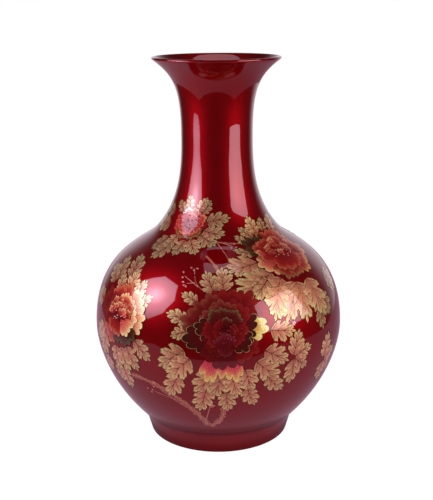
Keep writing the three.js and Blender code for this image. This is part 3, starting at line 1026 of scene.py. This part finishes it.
def glow(name, colours, along, foot_shadow):
    """Light given off by a flat card, from one colour to another along X, faintly clouded; near the axis it
    is dimmed as a painted shadow of the vase's foot.
    """
    material = bpy.data.materials.new(name)
    material.use_nodes = True
    tree = material.node_tree
    tree.nodes.clear()
    place = node(tree, "SeparateXYZ", {"Vector": node(tree, "TexCoord").outputs["Object"]})
    share = spread(tree, place.outputs["X"], -along, along)
    cloud = spread(tree, noise(tree, 80.0, 2.0), 0.3, 0.7, 0.97, 1.03)
    middle = node(tree, "VectorMath", {0: node(tree, "TexCoord").outputs["Object"]}, operation="LENGTH")
    # Painted shadow: the card's glow is dimmed near the axis, where the vase would shade the table.
    shadow = spread(tree, middle.outputs["Value"], *foot_shadow, 0.4, 1.0)
    colour = blended(tree, share, *colours)
    light = node(tree, "Emission", {"Color": colour, "Strength": times(tree, cloud, shadow)})
    output = tree.nodes.new("ShaderNodeOutputMaterial")
    tree.links.new(light.outputs["Emission"], output.inputs["Surface"])
    return material


def stage_plane(name, low, high, material):
    """A flat stretch of floor between two corners [x, y], in metres."""
    corners = [(low[0], low[1], 0), (high[0], low[1], 0), (high[0], high[1], 0), (low[0], high[1], 0)]
    mesh = bpy.data.meshes.new(name)
    mesh.from_pydata(corners, [], [(0, 1, 2, 3)])
    mesh.materials.append(material)
    floor = bpy.data.objects.new(name, mesh)
    bpy.context.scene.collection.objects.link(floor)
    return floor


def white_paper():
    """A white sweep, lit so evenly that it hardly shades."""
    material, tree = new_material("white paper", Specular_IOR_Level=0.0)
    cloud = spread(tree, noise(tree, 60.0, 2.0), 0.3, 0.7)
    feed(tree, Base_Color=blended(tree, cloud, (0.055, 0.055, 0.055), (0.065, 0.065, 0.065)))
    feed(tree, Roughness=spread(tree, cloud, 0, 1, 0.9, 1.0))
    surface = tree.nodes["Principled BSDF"]
    surface.inputs["Emission Color"].default_value = (1, 1, 1, 1)
    surface.inputs["Emission Strength"].default_value = 0.97
    return material


def build_floor():
    """A white floor, and the dimmer table top that the gloss of the vase mirrors instead, as a glowing card
    that only reflections see.
    """
    reach = FLOOR_REACH
    floor = stage_plane("floor", (-reach, -reach), (reach, reach), white_paper())
    floor.visible_glossy = False
    # The table's glow is brighter and redder at the left: painted lamplight, and painted red light thrown
    # back from the vase.
    colours = (0.56, 0.36, 0.46), (0.38, 0.22, 0.30)
    card = glow("table in the gloss", colours, TABLE_WIDTH / 2, FOOT_SHADOW)
    side = TABLE_WIDTH / 2
    table = stage_plane("mirrored_table", (-side, TABLE_FRONT), (side, TABLE_BACK), card)
    table.visible_camera = False
    table.visible_diffuse = False
    table.visible_shadow = False


def clipped_panel(middle, width, height, clip):
    """The corners of a panel whose four corners are cut off by a share of its sides."""
    half = np.array([width, height]) / 2
    cut = 1 - 2 * clip
    outline = [(1, -cut), (1, cut), (cut, 1), (-cut, 1), (-1, cut), (-1, -cut), (-cut, -1), (cut, -1)]
    return [tuple(np.array(middle) + half * corner) for corner in outline]


def softbox(name, azimuth, stand, corners, hot_spot, radiance, colour):
    """A soft light that faces the axis. Its corners and hot spot are [across, height] in metres.

    The stand is its distance at a height, that height, and how far it leans in for each metre up.
    The radiance is at the hot spot, and where the core and the skirt round it end.
    """
    distance, height, lean = stand
    across = Vector((math.cos(math.radians(azimuth)), math.sin(math.radians(azimuth)), 0))
    outward = Vector((across.y, -across.x, 0))

    def place(x, z):
        return outward * (distance - lean * (z - height)) + across * x + Vector((0, 0, z))

    mesh = bpy.data.meshes.new(name)
    mesh.from_pydata([place(x, z) for x, z in corners], [], [range(len(corners))])
    material = bpy.data.materials.new(name)
    material.use_nodes = True
    tree = material.node_tree
    tree.nodes.clear()
    seen = node(tree, "TexCoord").outputs["Object"]
    middle = place(*hot_spot[:2])
    away = node(tree, "VectorMath", {0: seen, 1: middle}, operation="DISTANCE").outputs["Value"]
    hot, half_way, far = radiance
    reach = hot_spot[2]
    core = spread(tree, away, 0.0, reach, hot - half_way, 0.0)
    skirt = spread(tree, away, reach * 0.7, reach * 2.4, half_way, far)
    strength = node(tree, "Math", {0: core, 1: skirt}, operation="ADD").outputs["Value"]
    light = node(tree, "Emission", {"Color": (*colour, 1), "Strength": strength})
    output = tree.nodes.new("ShaderNodeOutputMaterial")
    tree.links.new(light.outputs["Emission"], output.inputs["Surface"])
    mesh.materials.append(material)
    lamp = bpy.data.objects.new(name, mesh)
    bpy.context.scene.collection.objects.link(lamp)
    lamp.visible_camera = False


def overhead_panel(name, width, depth, place, radiance, colour):
    """A weaker soft light above the vase that faces down; lengths in metres."""
    light = bpy.data.lights.new(name, "AREA")
    light.shape = "RECTANGLE"
    light.size, light.size_y = width, depth
    light.energy = radiance * math.pi * width * depth
    light.color = colour
    lamp = bpy.data.objects.new(name, light)
    bpy.context.scene.collection.objects.link(lamp)
    lamp.location = place
    lamp.visible_camera = False


def build_world():
    """A pale room behind the vase and a dark one in front, as the gloss shows it."""
    world = bpy.data.worlds.new("studio")
    bpy.context.scene.world = world
    world.use_nodes = True
    tree = world.node_tree
    tree.nodes.clear()
    direction = node(tree, "SeparateXYZ", {"Vector": node(tree, "TexCoord").outputs["Generated"]})
    front = times(tree, direction.outputs["Y"], -1.0)
    turn = node(tree, "Math", {0: direction.outputs["X"], 1: front}, operation="ARCTAN2").outputs["Value"]
    right = spread(tree, turn, math.radians(112), math.radians(156), 0.0, 1.0)
    left = spread(tree, turn, math.radians(-165), math.radians(-130), 0.9, 0.0)
    behind = node(tree, "Math", {0: right, 1: left}, operation="MAXIMUM").outputs["Value"]
    overhead = spread(tree, direction.outputs["Z"], 0.1, 0.72, 1.0, 0.0)
    pale = spread(tree, times(tree, behind, overhead), 0, 1, 0.03, 1.0)
    mirrored = blended(tree, pale, (0.0, 0.0, 0.0), (1.0, 0.92, 1.0))
    path = node(tree, "LightPath")
    ambient = blended(tree, path.outputs["Is Glossy Ray"], (0.55, 0.55, 0.55), mirrored)
    seen = blended(tree, path.outputs["Is Camera Ray"], ambient, (1.0, 1.0, 1.0))
    background = node(tree, "Background", {"Color": seen, "Strength": 1.0})
    output = tree.nodes.new("ShaderNodeOutputWorld")
    tree.links.new(background.outputs["Background"], output.inputs["Surface"])


def build_lights():
    """Two soft boxes with clipped corners, at the left and right, and two dim panels above."""
    left = clipped_panel(LEFT_MIDDLE, *LEFT_BOX, LEFT_CLIP)
    radiance, colour = (14.5, 6.4, 2.7), (0.80, 0.88, 1.10)
    softbox("left_softbox", LEFT_AZIMUTH, LEFT_STAND, left, LEFT_HOT_SPOT, radiance, colour)
    right = clipped_panel(RIGHT_MIDDLE, *RIGHT_BOX, RIGHT_CLIP)
    radiance, colour = (5.2, 4.4, 3.5), (0.96, 0.88, 1.00)
    softbox("right_softbox", RIGHT_AZIMUTH, RIGHT_STAND, right, RIGHT_HOT_SPOT, radiance, colour)
    overhead_panel("ceiling_panel", 0.54, 0.28, (0.06, -0.03, 1.5), 1.6, (1.0, 0.8, 0.95))
    overhead_panel("mouth_panel", 0.17, 0.1, (0, 0.1, 0.7), 1.6, (1.0, 0.85, 0.95))
    build_world()


def build_camera():
    """A long lens in front of the vase, looking down a little."""
    camera = bpy.data.cameras.new("camera")
    camera.lens = CAMERA_LENS
    camera.sensor_width = 36.0
    viewer = bpy.data.objects.new("camera", camera)
    bpy.context.scene.collection.objects.link(viewer)
    bpy.context.scene.camera = viewer
    place = Matrix.Translation(CAMERA_PLACE)
    tilt = Euler((math.radians(90 + CAMERA_PITCH), 0, 0)).to_matrix().to_4x4()
    viewer.matrix_world = place @ tilt @ Matrix.Rotation(math.radians(CAMERA_ROLL), 4, "Z")


bpy.context.scene.view_settings.view_transform = "Standard"
build_camera()
build_lights()
build_floor()
build_body()
build_film()
